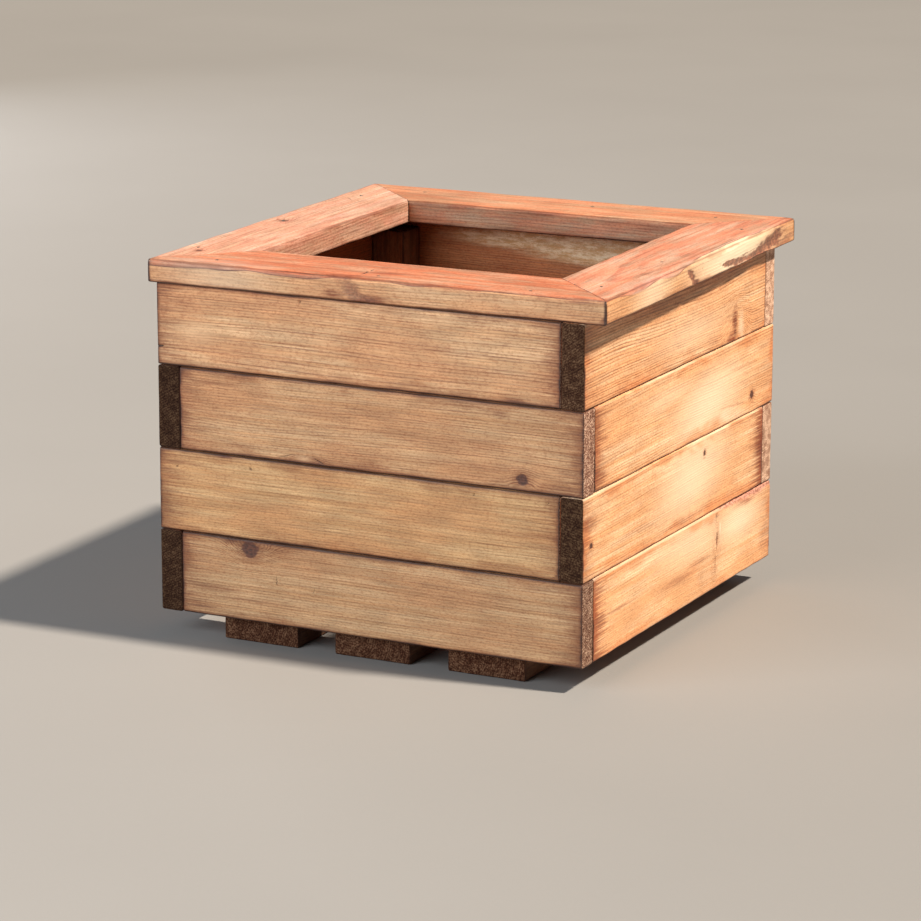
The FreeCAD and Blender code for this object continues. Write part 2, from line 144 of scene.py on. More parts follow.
# What each board shows. A mark's first two numbers are its place from the board's middle, along and across
# (up on the walls), and then come its length and height. A knot has a radius instead, and a torn arris has
# its length before its place across.
MARKS = {
    "front_board_1": [
        crack(-67, 40.5, 1.2, 2, 0, 0.6), crack(-246, -26, 5, 0.9, 10), stain(242, 6, 24, 13, 0.45, 30),
        stain(194, -43, 22, 5, 0.6), pale(-201, -7, 34, 15, 0.4), stain(-211, 25, 16, 10, 0.25),
        stain(160, 2, 90, 1.3, 0.5), stain(60, 38, 120, 2, 0.3),
    ],
    "front_board_2": [
        knot(177, -34.5, 6.5), swirl(-89, -50, 30, 17), crack(-114, -40, 12, 0.6, 14, 0.5, 0.3),
        crack(-72, -42, 8, 0.9, -24, 0.65), pale(-92, -42, 13, 4, 0.6), stain(-204, 33, 38, 4, 0.5),
        stain(151, 34.5, 11, 5, 0.45), stain(-90, -46, 30, 3, 0.6), stain(-40, 0, 160, 1.5, 0.35),
    ],
    "front_board_3": [
        crack(-131, 34.5, 1.3, 2, 30, 0.55), crack(-226, 27.5, 1.4, 1, 30, 0.5),
        stain(-166, 46, 17, 4, 0.95), stain(-218, 32, 32, 3, 0.5), stain(184, -15.5, 62, 1.4, 0.55),
        stain(-60, 10, 120, 1.5, 0.3), crack(147, 38, 0.9, 2, 0, 0.5), crack(235, 38, 0.9, 1.6, 0, 0.5),
    ],
    "front_board_4": [
        knot(-161, 36.5, 9.5), stain(-186, 43, 15, 4.5, 0.7), crack(-127, 4, 0.8, 6, 0, 0.5, 0.3),
        crack(-80, -1, 0.7, 4, 0, 0.4, 0.3), stain(-204, -14, 48, 5, 0.6),
        stain(-160, -23, 64, 2.5, 0.5), stain(-225, -35, 30, 6, 0.55), swirl(-161, 36.5, 46, 22, 5),
    ],
    # On the right wall the pale patches 60 mm or longer are painted sheen, and on right_board_1 stain(0, 46,
    # 400, 28) is painted shade under the cap's overhang.
    "right_board_1": [
        swirl(166, -54, 42, 60, 9), stain(159, -26, 11, 26, 1.0), knot(160, -30, 14, 0.35, 0.22, 0.0),
        stain(150, -42, 18, 10, 0.9), pale(178, -32, 9, 20, 0.5), stain(0, 46, 400, 28, 0.6),
        pale(30, -14, 120, 28, 0.38),
    ],
    "right_board_2": [
        knot(186, -26.5, 4.8), stain(-240, -32, 26, 14, 0.65), stain(-234, 8, 24, 4, 0.6),
        stain(132, -28, 48, 1.6, 0.5, -5), stain(160, 14, 60, 1.4, 0.35),
        pale(56, -10, 120, 46, 0.75, 6), pale(104, -34, 60, 14, 0.7, -6), pale(-40, 20, 110, 16, 0.35),
        stain(-246, 20, 14, 34, 0.4),
    ],
    "right_board_3": [
        knot(77, 27.5, 3.8, stretch=0.8), knot(-230, -8.5, 3), stain(-236, 18, 24, 12, 0.6),
        stain(240, 0, 17, 46, 0.6), stain(14, -39, 70, 4, 0.4), pale(44, 10, 120, 52, 0.7, 8),
        stain(-100, -20, 90, 6, 0.25),
    ],
    "right_board_4": [
        pale(150, 20, 84, 30, 0.75), pale(20, 26, 130, 32, 0.5), pale(-60, 36, 120, 12, 0.3),
        knot(91, 12, 13, 0.1, 0.36, 0.4), stain(90, 9, 3.4, 15, 0.95), crack(90, 12, 0.9, 9, 0, 0.3),
        knot(84, -18, 13, 0.1, 0.3, 0.2), stain(86, -20, 4, 14, 0.4), crack(86, 36, 0.8, 8, 0, 0.4),
        pale(98, 22, 5, 16, 0.8), stain(88, 40, 7, 5, 0.4), wane(150, 66, 49.5, 8, 0.5),
        wane(208, 66, 48.5, 10, 0.8), stain(172, 38, 34, 5, 0.7), stain(61, -25, 42, 26, 0.2),
        stain(-12, -10, 74, 6, 0.5), stain(34, -3, 40, 5, 0.5), stain(236, -18, 26, 24, 0.4),
        stain(-184, -2, 52, 2.6, 0.6), stain(-230, -6, 18, 12, 0.6),
    ],
    "back_board_1": [
        knot(-120, 12, 7), bloom(60, 31, 120, 15), bloom(-40, 25, 130, 22),
        bloom(-140, 17, 100, 24, 0.9), stain(60, -20, 60, 3, 0.4),
    ],
    "back_board_2": [
        knot(140, -22, 5), stain(-180, 20, 50, 5, 0.4), crack(30, 30, 9, 0.8, 6),
    ],
    "back_board_3": [
        knot(10, 28, 9), swirl(10, 28, 34, 18), stain(180, -30, 40, 4, 0.5),
    ],
    "back_board_4": [
        knot(-190, -16, 6), crack(110, 6, 14, 0.8, -4),
    ],
    "left_board_1": [
        knot(96, 20, 6), stain(-150, -30, 60, 4, 0.5),
    ],
    "left_board_2": [
        knot(-60, -24, 8), swirl(-60, -24, 30, 16), crack(160, 22, 12, 0.8, 5),
    ],
    "left_board_3": [
        knot(-180, 12, 4.5), knot(60, -30, 5), stain(200, 24, 30, 10, 0.4),
    ],
    "left_board_4": [
        knot(130, 30, 7), stain(-90, 4, 80, 3, 0.4),
    ],
    "cap_front": [
        edge_scar(-22, -2, 20, 9, -42, 0.8, 0.62), edge_scar(-10, -9, 17, 7, -10, 0.5, 0.55),
        stain(6, -12, 30, 16, 0.5, thick=40), crack(-20, -14, 1, 20),
        stain(-20, -44, 46, 8, 0.6, out=13, thick=4), stain(-46, -47, 16, 9, 0.9, out=-7, thick=6),
        stain(4, -47, 24, 9, 0.8, out=-9, thick=7), pale(-190, -40, 80, 26, 0.3),
        stain(250, -45, 30, 8, 0.7, out=10, thick=5),
    ],
    "cap_right": [
        edge_scar(-36, -4, 19, 6.5, -36, 1.4), edge_scar(78, -6.5, 28, 3.8, -4),
        edge_scar(112, -8.5, 34, 5, -2), edge_scar(148, -9, 36, 5.6, 0),
        edge_scar(184, -6.5, 34, 9, 6, 2.0), edge_scar(212, -3, 32, 11, 10, 2.0),
        edge_scar(244, -8, 28, 5, 6, 1.0, 0.6), edge_scar(-8, 2, 2, 1.6), stain(0, -24, 20, 13, 0.4),
        # pale(90, -47, ...) and pale(-150, -47, ...) lie along the outer arris: bare, uncoated wood with a
        # painted highlight.
        stain(-125, -27, 12, 9, 0.35), stain(-245, -30, 26, 10, 0.4), pale(90, -47, 146, 8, 0.92),
        pale(-150, -47, 60, 8, 0.5),
    ],
    "cap_back": [
        knot(-238, 22, 6, 0.5), stain(-200, 40, 20, 5, 0.5), stain(120, 10, 60, 3, 0.3),
        stain(170, 0, 120, 60, 0.3),
    ],
    "cap_left": [
        crack(-163, -22, 5, 1.1, 62), knot(6, -22, 6, 0.6), stain(6, -10, 24, 6, 0.4),
        knot(215, -17, 3.6, 0.8), stain(60, 20, 60, 3, 0.3),
    ],
}


# ---------------------------------------------------------------- timber shapes

def waves(points, lengths, seed):
    """Smooth noise between -1 and 1 at the points, about as long on each axis as lengths says."""
    rng = np.random.default_rng(seed)
    total = np.zeros(len(points))
    for _ in range(WAVE_COUNT):
        turns = rng.normal(size=3) / np.array(lengths)
        total += np.sin(points @ turns * math.pi + rng.uniform(0, 2 * math.pi))
    return np.tanh(total / WAVE_COUNT ** 0.5)


def stations(half, low_eases, high_eases, step, marks=()):
    """Where the mesh has lines on one axis: close together in the rounded arrises and at the marks."""
    arc = [math.tan(math.radians(angle)) for angle in ARC_ANGLES]
    low = [-half + ease * (1 - turn) for ease in low_eases for turn in arc]
    high = [half - ease * (1 - turn) for ease in high_eases for turn in arc]
    first, last = max(low) + FIRST_STEP, min(high) - FIRST_STEP
    middle = list(np.linspace(first, last, max(2, round((last - first) / step))))
    for centre, radius in marks:
        middle += [centre + radius * share for share in MARK_LINES
                   if radius and first < centre + radius * share < last]
    kept = sorted(set(low))
    for station in sorted(middle) + sorted(high):
        if station - kept[-1] > LEAST_STEP:
            kept.append(station)
    kept[-1] = half
    return np.array(kept)


def lattice_shell(axes):
    """Points and outward quads of a box whose mesh lines are at the stations on its three axes."""
    shape = tuple(len(axis) for axis in axes)
    index = np.indices(shape)
    on_skin = np.zeros(shape, bool)
    for axis, count in enumerate(shape):
        on_skin |= (index[axis] == 0) | (index[axis] == count - 1)
    number = np.full(shape, -1)
    number[on_skin] = np.arange(on_skin.sum())
    points = np.stack(np.meshgrid(*axes, indexing="ij"), -1)[on_skin]
    quads = []
    for axis in range(3):
        for side in (0, shape[axis] - 1):
            sheet = number.take(side, axis=axis)
            ring = [sheet[:-1, :-1], sheet[1:, :-1], sheet[1:, 1:], sheet[:-1, 1:]]
            if (side == 0) == (axis != 1):
                ring.reverse()
            quads.append(np.stack(ring, -1).reshape(-1, 4))
    return points, np.concatenate(quads)


def within(points, spot):
    """How far each point lies from a spot's centre, in units of its size."""
    turn = math.radians(spot.tilt)
    offset = points - np.array(spot.at)
    side = 2 if spot.kind == "scar" else 1
    along = offset[:, 0] * math.cos(turn) + offset[:, side] * math.sin(turn)
    up = -offset[:, 0] * math.sin(turn) + offset[:, side] * math.cos(turn)
    other = offset[:, 3 - side]
    shares = (along / spot.size[0], up / spot.size[side], other / spot.size[3 - side])
    return np.sqrt(shares[0] ** 2 + shares[1] ** 2 + shares[2] ** 2)


def mesh_lines(half, eases, end_ease, spots, dimples):
    """The stations on the timber's three axes; only along and across are they finer at sunk marks."""
    sunk = [(spot.at, spot.size) for spot in spots if spot.depth]
    sunk += [((along, across, out), (radius,) * 3) for along, across, out, radius, _ in dimples]
    marks = [[(at[axis], min(size[axis], FINE_REACH) if abs(at[axis]) < half[axis] - 1 else 0)
              for at, size in sunk] for axis in (0, 1)]
    inward, outward = {eases[0][0], eases[1][0]}, {eases[0][1], eases[1][1]}
    return [stations(half[0], (end_ease,), (end_ease,), MESH_STEP[0], marks[0]),
            stations(half[1], sorted(set(eases[0])), sorted(set(eases[1])), MESH_STEP[1], marks[1]),
            stations(half[2], sorted(inward), sorted(outward), MESH_STEP[2])]


def timber(name, half, eases, end_ease, spots, dimples, seed, mitre=None, swell=0.25):
    """A mesh of one timber in its own axes, with grain, arris and end_grain attributes.

    eases holds the long arrises' radii: [across < 0 or > 0][out < 0 or > 0]. dimples are
    (along, across, out, radius, depth) round fastener heads. mitre is how far the middle of a
    mitred board lies from the centre of the cap, and swell is how deep its faces wave.
    """
    flat, quads = lattice_shell(mesh_lines(half, eases, end_ease, spots, dimples))
    gaps = np.array(half) - np.abs(flat)
    ease = np.array(eases)[(flat[:, 1] > 0).astype(int), (flat[:, 2] > 0).astype(int)]
    ease = ease * (1 + ARRIS_UNEVEN * waves(flat, ARRIS_WAVES, seed))
    radii = np.stack([np.full(len(flat), end_ease), ease, ease], -1)
    core = np.clip(flat, radii - half, half - radii)
    lean = (flat - core) / radii
    lean /= np.linalg.norm(lean, axis=1)[:, None]
    normal = lean / radii
    normal /= np.linalg.norm(normal, axis=1)[:, None]
    true = flat.copy()
    if mitre:
        gaps[:, 0] += np.where(flat[:, 1] < MITRE_TIP - half[1], 0, MITRE_CLEAR)
        true[:, 0] *= (mitre - flat[:, 1]) / mitre
    sink = swell * 0.5 * (1 + waves(flat, SWELL_WAVES, seed + 1))
    sink += RELIEF * (1 + waves(flat, RELIEF_WAVES, seed + 2))
    for spot in spots:
        if spot.depth:
            share = np.clip(HOLLOW_OUTER - within(true, spot), 0, HOLLOW_WALL) / HOLLOW_WALL
            sink += spot.depth * share * share * (3 - 2 * share)
    for along, across, out, radius, depth in dimples:
        reach = np.linalg.norm(true - np.array((along, across, out)), axis=1)
        sink += depth * np.clip(DIMPLE_OUTER - reach / radius, 0, DIMPLE_WALL) / DIMPLE_WALL
    shaped = core + lean * radii - normal * sink[:, None]
    if mitre:
        shaped[:, 0] *= (mitre - flat[:, 1]) / mitre
    mesh = bpy.data.meshes.new(name)
    mesh.from_pydata((shaped * MM).tolist(), [], quads.tolist())
    mesh.shade_smooth()
    add_attribute(mesh, "grain", "FLOAT_VECTOR", "vector", true)
    add_attribute(mesh, "arris", "FLOAT", "value", np.sort(gaps, axis=1)[:, 1])
    at_end = np.abs(flat[:, 0]) > half[0] - 0.001
    add_attribute(mesh, "end_grain", "FLOAT", "value", at_end.astype(float))
    return mesh


def add_attribute(mesh, name, kind, field, values):
    mesh.attributes.new(name, kind, "POINT").data.foreach_set(field, values.astype(np.float32).ravel())


def head_dimples(node, centre, axes, half):
    """Hollows for the fastener heads that lie just under the node's faces, in the timber's own axes."""
    found = []
    for group in FASTENERS:
        points = np.array([vertex.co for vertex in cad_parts[group].data.vertices])
        local = (points - np.array(centre)) @ np.array(axes, float).T / MM
        inside = local[(np.abs(local) < np.array(half)).all(axis=1)]
        for axis in (1, 2):
            depth = half[axis] - np.abs(inside[:, axis])
            for point in inside[(depth > HEAD_SINK[0]) & (depth < HEAD_SINK[1])]:
                face = math.copysign(half[axis], point[axis])
                for head in found:
                    if head["axis"] == axis and head["face"] == face and \
                            np.linalg.norm(point - head["points"][0]) < HEAD_SPACE:
                        head["points"].append(point)
                        break
                else:
                    found.append({"axis": axis, "face": face, "points": [point]})
    dimples = []
    for head in found:
        low, high = np.min(head["points"], axis=0), np.max(head["points"], axis=0)
        middle = (low + high) / 2
        middle[head["axis"]] = head["face"]
        dimples.append((*middle, max(high - low) / 2 + DIMPLE_RIM, DIMPLE_DEPTH))
    return dimples


def add_timber(mesh, node, centre, axes, material):
    """Puts a timber where its CAD node is: axes are the directions of along, across and out."""
    matrix = np.eye(4)
    matrix[:3, :3] = np.array(axes).T
    matrix[:3, 3] = centre
    mesh.transform(Matrix(matrix.tolist()))
    mesh.materials.append(material)
    piece = bpy.data.objects.new(node + "_timber", mesh)
    bpy.context.scene.collection.objects.link(piece)
    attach(piece, "root")
    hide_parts(node)
    return piece


# ---------------------------------------------------------------- materials

def tone(red, green, blue):
    """A linear colour from its 0 to 255 screen values."""
    def linear(value):
        value /= 255
        return value / 12.92 if value <= 0.04045 else ((value + 0.055) / 1.055) ** 2.4
    return (linear(red), linear(green), linear(blue), 1.0)


PORE = tone(196, 150, 128)
INSIDE_BROWN = tone(212, 176, 150)
BLOOM_GROUND, BLOOM_FLECK = tone(226, 184, 128), tone(255, 232, 196)
COAT_VEIN, COAT_SEAM = tone(176, 130, 128), tone(88, 50, 50)
# The arrises' brown halo and dark line: dirt and old stain with painted shade in the grooves.
EDGE_STAIN_AND_SHADE, EDGE_DIRT_AND_SHADE = tone(150, 104, 88), tone(52, 30, 25)
CORNER_DIRT = tone(50, 30, 28)
KNOT_BROWN, KNOT_DARK = tone(104, 60, 46), tone(58, 33, 28)
BARK_BROWN, BARK_DARK = tone(158, 100, 76), tone(104, 62, 50)
TORN_PALE, TORN_BROWN = tone(222, 166, 144), tone(172, 112, 92)
CRACK_DARK = tone(56, 34, 27)
SAWN_BROWN, SAWN_PALE, SAWN_CLEAN = tone(158, 114, 94), tone(255, 222, 194), tone(252, 214, 186)
SAWN_RING, CLEAN_RING = tone(124, 84, 66), tone(206, 150, 118)
SAWN_PATCH = tone(160, 130, 120)
INNER_RIM = -10.5                               # a wall board's back starts here; its inner face is at -14


class Graph:
    """Short ways to build a material. A value may be a number, a tuple or another node's output."""

    def __init__(self, name):
        self.material = bpy.data.materials.new(name)
        self.material.use_nodes = True
        self.tree = self.material.node_tree
        self.tree.nodes.clear()

    def node(self, kind, inputs=None, **settings):
        made = self.tree.nodes.new("ShaderNode" + kind)
        for key, value in settings.items():
            setattr(made, key, value)
        for socket, value in (inputs or {}).items():
            self.feed(made.inputs[socket], value)
        return made

    def feed(self, socket, value):
        if isinstance(value, bpy.types.NodeSocket):
            self.tree.links.new(value, socket)
        else:
            socket.default_value = value

    def math(self, operation, a, b=0.0):
        return self.node("Math", {0: a, 1: b}, operation=operation).outputs[0]

    def vector(self, operation, a, b=(0, 0, 0)):
        made = self.node("VectorMath", {0: a, 1: b}, operation=operation)
        return made.outputs["Value" if operation == "LENGTH" else "Vector"]

    def noise(self, place, pitch, detail=2.0, roughness=0.5, colour=False):
        """Noise whose features are about pitch long, in millimetres, on the three axes."""
        scaled = self.vector("DIVIDE", place, pitch)
        made = self.node("TexNoise", {"Vector": scaled, "Scale": 1.0, "Detail": detail,
                                      "Roughness": roughness})
        return made.outputs["Color" if colour else "Fac"]

    def smooth(self, value, start, end, low=0.0, high=1.0):
        made = self.node("MapRange", {"Value": value, "From Min": start, "From Max": end,
                                      "To Min": low, "To Max": high}, interpolation_type="SMOOTHSTEP")
        return made.outputs["Result"]

    def mix(self, share, a, b, blend="MIX"):
        return self.node("Mix", {0: share, 6: a, 7: b}, data_type="RGBA", blend_type=blend).outputs[2]

    def most(self, values):
        total = values[0]
        for value in values[1:]:
            total = self.math("MAXIMUM", total, value)
        return total

    def finish(self, colour, roughness, height, bump_depth, **sockets):
        """The material's shader; bump_depth is in millimetres and sockets are more of its inputs."""
        bump = self.node("Bump", {"Height": height, "Strength": 1.0, "Distance": bump_depth * MM})
        shader = self.node("BsdfPrincipled", {"Base Color": colour, "Roughness": roughness,
                                              "Normal": bump.outputs[0]})
        for socket, value in sockets.items():
            self.feed(shader.inputs[socket.replace("_", " ")], value)
        output = self.node("OutputMaterial", {"Surface": shader.outputs[0]})
        output.is_active_output = True
        return self.material


def spot_reach(g, place, spot):
    """The distance from a spot's centre, in units of its size, as a node output."""
    turn = math.radians(spot.tilt)
    rotation = (0, -turn, 0) if spot.kind == "scar" else (0, 0, turn)
    mapped = g.node("Mapping", {"Vector": place, "Location": spot.at, "Rotation": rotation,
                                "Scale": spot.size}, vector_type="TEXTURE").outputs[0]
    return g.vector("LENGTH", mapped)


class Wood(Graph):
    """Stained softwood. Each method lays one more layer on self.colour."""

    def __init__(self, name, look, spots, seed):
        super().__init__(name)
        self.look = look
        self.spots = spots
        self.grain = self.node("Attribute", attribute_name="grain").outputs["Vector"]
        self.arris = self.node("Attribute", attribute_name="arris").outputs["Fac"]
        self.end = self.node("Attribute", attribute_name="end_grain").outputs["Fac"]
        self.along, self.across, self.out = self.node("SeparateXYZ", {0: self.grain}).outputs
        start = np.random.default_rng(seed).uniform(-5000, 5000, 3)
        self.drift = self.vector("ADD", self.grain, tuple(float(value) for value in start))
        ragged = self.wander((14, 5, 5), (9, 3.2, 3.2), 3)
        self.reach = {spot: spot_reach(self, self.vector("ADD", self.grain, ragged), spot) for spot in spots}
        self.fibre = self.noise(self.drift, (64, 1.3, 1.3), 3, 0.65)

    def wander(self, pitch, amount, detail=1.0):
        """A smoothly changing offset, in millimetres on the three axes."""
        away = self.vector("SUBTRACT", self.noise(self.drift, pitch, detail, 0.55, True), (0.5, 0.5, 0.5))
        return self.vector("MULTIPLY", away, amount)

    def of_kind(self, kind):
        return [spot for spot in self.spots if spot.kind == kind]

    def shares(self, kind, start, end):
        """How far each spot of one kind covers the surface, from 0 to its strength."""
        return [self.smooth(self.reach[spot], start, end, 0, spot.strength) for spot in self.of_kind(kind)]

    def multiply(self, share, shade):
        self.colour = self.mix(share, self.colour, self.mix(1.0, self.colour, shade, "MULTIPLY"))

    def grow(self, pith, spacing, late):
        """Growth rings round a pith line, turned aside by knots; self.line is where late wood shows."""
        bent = self.vector("ADD", self.grain, self.wander((420, 90, 90), (0, 22, 22), 1.5))
        bent = self.vector("ADD", bent, self.wander((60, 14, 14), (0, 1.2, 1.2)))
        aside = self.vector("MULTIPLY", self.vector("SUBTRACT", bent, (0, *pith)), (0, 1, 1))
        rings = self.math("DIVIDE", self.vector("LENGTH", aside), spacing)
        for spot in self.of_kind("knot"):
            pushed = 0.75 * spot.size[1] / spacing
            rings = self.math("ADD", rings, self.smooth(self.reach[spot], 3.4, 0.7, 0, pushed))
        for spot in self.of_kind("swirl"):
            rings = self.math("ADD", rings, self.smooth(self.reach[spot], 1.25, 0.1, 0, spot.strength))
        phase = self.math("FRACT", rings)
        self.band = self.math("MULTIPLY", self.smooth(phase, 0.3, 0.84), self.smooth(phase, 1.0, 0.88))
        years = self.node("TexNoise", {"W": self.math("MULTIPLY", rings, 0.42), "Scale": 1.0, "Detail": 1.0},
                          noise_dimensions="1D").outputs["Fac"]
        self.band = self.math("MULTIPLY", self.band, self.smooth(years, 0.32, 0.66, 0.3, 1.0))
        dash = self.smooth(self.noise(self.drift, (26, 1.6, 1.6), 2, 0.55), 0.36, 0.6, 0.4, 1.0)
        self.line = self.math("MULTIPLY", self.math("MULTIPLY", self.band, dash), late)
        turned = [self.smooth(self.reach[spot], 4.2, 1.3, 0, 0.8) for spot in self.of_kind("knot")]
        turned += [self.smooth(self.reach[spot], 1.3, 0.6, 0, 0.85) for spot in self.of_kind("swirl")]
        if turned:
            self.line = self.math("MAXIMUM", self.line, self.math("MULTIPLY", self.band, self.most(turned)))

    def paint(self, shade):
        """The stain's body colour with streaks, clouds, late wood, fibres and pores."""
        streak = self.noise(self.drift, (420, 6, 6), 4, 0.62)
        cloud = self.noise(self.drift, (150, 42, 42), 3, 0.55)
        blotch = self.noise(self.drift, (46, 20, 20), 4, 0.6)
        pore = self.noise(self.drift, (3.6, 1.9, 1.9), 2, 0.6)
        self.colour = self.mix(self.smooth(streak, 0.3, 0.7), self.look.light, self.look.dark)
        self.colour = self.mix(self.smooth(cloud, 0.38, 0.64, 0, 0.9), self.colour, self.look.tint)
        self.colour = self.mix(self.line, self.colour, self.look.late)
        darkest, lightest = 1 - self.look.fibre, 1 + 0.75 * self.look.fibre
        self.multiply(1.0, self.grey(self.smooth(self.fibre, 0.3, 0.7, darkest, lightest)))
        self.multiply(1.0, self.grey(self.smooth(blotch, 0.32, 0.68, 0.9, 1.08)))
        self.multiply(self.smooth(pore, 0.48, 0.64, 0, 0.4), PORE)
        # shade is the board's colour gain; on the lower front boards it is painted shade.
        self.multiply(1.0, tone(*shade))

    def grey(self, value):
        return self.node("CombineColor", {0: value, 1: value, 2: value}).outputs[0]

    def darken_inside(self):
        """The back of a wall board: darker and browner, with a pale bloom where it is marked."""
        shown = self.colour
        self.multiply(1.0, INSIDE_BROWN)
        blooms = self.shares("bloom", 1.15, 0.4)
        if blooms:
            ground = self.math("MULTIPLY", self.most(blooms), 0.75)
            self.colour = self.mix(ground, self.colour, BLOOM_GROUND)
            patch = self.smooth(self.noise(self.drift, (22, 6, 6), 6, 0.82), 0.42, 0.62, 0, 1.0)
            patch = self.math("MULTIPLY", patch, self.most(blooms))
            self.colour = self.mix(patch, self.colour, BLOOM_FLECK)
        behind = self.smooth(self.out, INNER_RIM + 1.5, INNER_RIM - 1.5)
        self.colour = self.mix(behind, shown, self.colour)

    def mark(self):
        """Pale and dark patches, both feathered along the grain; some pale ones are painted sheen and one
        dark one is painted shade.
        """
        feather = self.smooth(self.noise(self.drift, (42, 1.9, 1.9), 2, 0.6), 0.34, 0.62, 0.4, 1.0)
        pales = self.shares("pale", 1.3, 0.0)
        if pales:
            self.colour = self.mix(self.most(pales), self.colour, self.look.pale)
        darks = self.shares("stain", 1.1, 0.25)
        darks += [self.smooth(self.reach[spot], 2.3, 0.9, 0, 0.6 * spot.strength)
                  for spot in self.of_kind("knot")]
        if darks:
            self.multiply(self.math("MULTIPLY", self.most(darks), feather), self.look.stain)

    def soak_ends(self, half_length, low, high):
        """Stain drawn far into the open grain next to the sawn ends."""
        away = self.math("SUBTRACT", half_length, self.math("ABSOLUTE", self.along))
        fringe = self.smooth(self.noise(self.drift, (70, 2.2, 2.2), 3, 0.65), 0.34, 0.68, 7.0, 62.0)
        share = self.smooth(self.along, -1, 1, low, high)
        soaked = self.math("MULTIPLY", self.smooth(self.math("DIVIDE", away, fringe), 1.15, 0.05), share)
        self.multiply(soaked, self.look.stain)

    def coat(self, gains, half_thick):
        """A second coat over the upper face and the inner edge, with a wavy line on the outer edge.

        gains are two linear colours that the coat multiplies the wood by, in patches.
        """
        rise = self.math("ADD", self.out, self.smooth(self.across, 30, 40, 0, 40))
        lap = self.smooth(self.noise(self.drift, (110, 900, 900), 1.0, 0.5), 0.35, 0.7, 1.4, 9.0)
        level = self.math("ADD", rise, lap)
        bare = self.shares("pale", 1.2, 0.1)
        if bare:
            level = self.math("SUBTRACT", level, self.math("MULTIPLY", self.most(bare), 7.0))
        covered = self.smooth(level, half_thick - 0.6, half_thick + 0.9)
        patch = self.smooth(self.noise(self.drift, (84, 17, 17), 5, 0.7), 0.4, 0.6)
        self.multiply(covered, self.mix(patch, (*gains[0], 1), (*gains[1], 1)))
        vein = self.smooth(self.noise(self.drift, (70, 2.6, 2.6), 3, 0.6), 0.56, 0.7, 0, 0.34)
        self.multiply(self.math("MULTIPLY", covered, vein), COAT_VEIN)
        seam = self.math("MULTIPLY", self.smooth(level, half_thick - 1.0, half_thick),
                         self.smooth(level, half_thick + 1.2, half_thick + 0.2))
        wear_and_highlight = self.smooth(self.noise(self.drift, (60, 900, 900), 2, 0.5), 0.35, 0.6, 0.1, 0.8)
        self.colour = self.mix(self.math("MULTIPLY", seam, wear_and_highlight), self.colour, COAT_SEAM)

    def edge(self, place, low, high, width, spread=16.0):
        """Dirt and old stain along the arrises, with painted shade in the grooves; low and high are its
        shares at place < 0 and place > 0.
        """
        waver = self.smooth(self.noise(self.drift, (60, 14, 14), 3, 0.55), 0.3, 0.7, -0.7, 0.9)
        groove_reach = self.math("ADD", self.arris, waver)
        uneven = self.noise(self.drift, (70, 30, 30), 4, 0.6)
        far = self.math("ADD", self.arris, self.smooth(uneven, 0.3, 0.7, -0.5 * spread, 0.9 * spread))
        share = self.smooth(place, -6, 6, low, high)
        self.multiply(self.smooth(far, spread, 1, 0, 0.6), self.look.edge)
        brown = self.math("MULTIPLY", self.smooth(groove_reach, width * 2, width * 0.5, 0, 0.7), share)
        self.multiply(brown, EDGE_STAIN_AND_SHADE)
        dark = self.math("MULTIPLY", self.smooth(groove_reach, width, width * 0.35), share)
        self.colour = self.mix(dark, self.colour, EDGE_DIRT_AND_SHADE)

    def paint_arris_highlight(self):
        """A painted highlight along the upper arris of a wall board, where light catches it."""
        near = self.smooth(self.across, 43.5, 45.5, 0, 0.4)
        wear_and_highlight = self.smooth(self.noise(self.drift, (90, 20, 20), 3, 0.6), 0.35, 0.55)
        self.colour = self.mix(self.math("MULTIPLY", near, wear_and_highlight), self.colour, self.look.pale)

    def corner(self, half_length):
        """The dark upright edge where two mitred boards meet at their outer corner."""
        away = self.math("SUBTRACT", half_length, self.math("ABSOLUTE", self.along))
        self.colour = self.mix(self.smooth(away, 3.8, 1.2, 0, 0.88), self.colour, CORNER_DIRT)

    def heal(self):
        """Knots, torn edges and cracks, which cover the layers before them."""
        speck = self.noise(self.drift, (4, 3, 3), 3, 0.6)
        for spot in self.of_kind("knot"):
            reach = self.reach[spot]
            ring = self.smooth(self.math("SINE", self.math("MULTIPLY", reach, 13.0)), -1, 1, 0, 0.35)
            darker = self.math("ADD", ring, self.smooth(speck, 0.35, 0.65, 0, 0.6))
            heart = self.mix(darker, KNOT_BROWN, KNOT_DARK)
            covered = self.smooth(reach, 1.12, 0.86, 0, 0.94 * spot.strength)
            self.colour = self.mix(covered, self.colour, heart)
        torn = self.smooth(self.noise(self.drift, (16, 5, 5), 3, 0.6), 0.32, 0.68, -0.32, 0.32)
        speck = self.smooth(speck, 0.38, 0.6)
        bark = self.mix(speck, BARK_BROWN, BARK_DARK)
        rough = self.mix(speck, TORN_PALE, TORN_BROWN)
        slightly = self.math("MULTIPLY", torn, 0.45)
        for kind, tear, ragged in (("scar", bark, torn), ("wane", rough, slightly)):
            shares = [self.smooth(self.math("ADD", self.reach[spot], ragged), 1.25, 0.6, 0, spot.strength)
                      for spot in self.of_kind(kind)]
            if shares:
                self.colour = self.mix(self.most(shares), self.colour, tear)
        cracks = self.shares("crack", 1.15, 0.6)
        self.split = self.most(cracks) if cracks else 0.0
        self.colour = self.mix(self.split, self.colour, CRACK_DARK)

    def saw(self, shade, clean=0.0):
        """Sawn end grain: rings, torn pale flecks and dark patches; clean is how little stain it took."""
        self.fleck = self.smooth(self.noise(self.drift, (3, 1.9, 1.9), 2, 0.6), 0.38, 0.6)
        sawn = self.mix(self.fleck, SAWN_BROWN, SAWN_PALE)
        sawn = self.mix(clean, sawn, SAWN_CLEAN)
        rings = self.mix(clean, SAWN_RING, CLEAN_RING)
        sawn = self.mix(self.math("MULTIPLY", self.band, 0.7), sawn, rings)
        patch = self.smooth(self.noise(self.drift, (12, 9, 9), 3, 0.6), 0.35, 0.65, 0, 0.7)
        sawn = self.mix(patch, sawn, self.mix(1.0, sawn, SAWN_PATCH, "MULTIPLY"))
        self.colour = self.mix(self.end, self.colour, self.mix(1.0, sawn, tone(*shade), "MULTIPLY"))

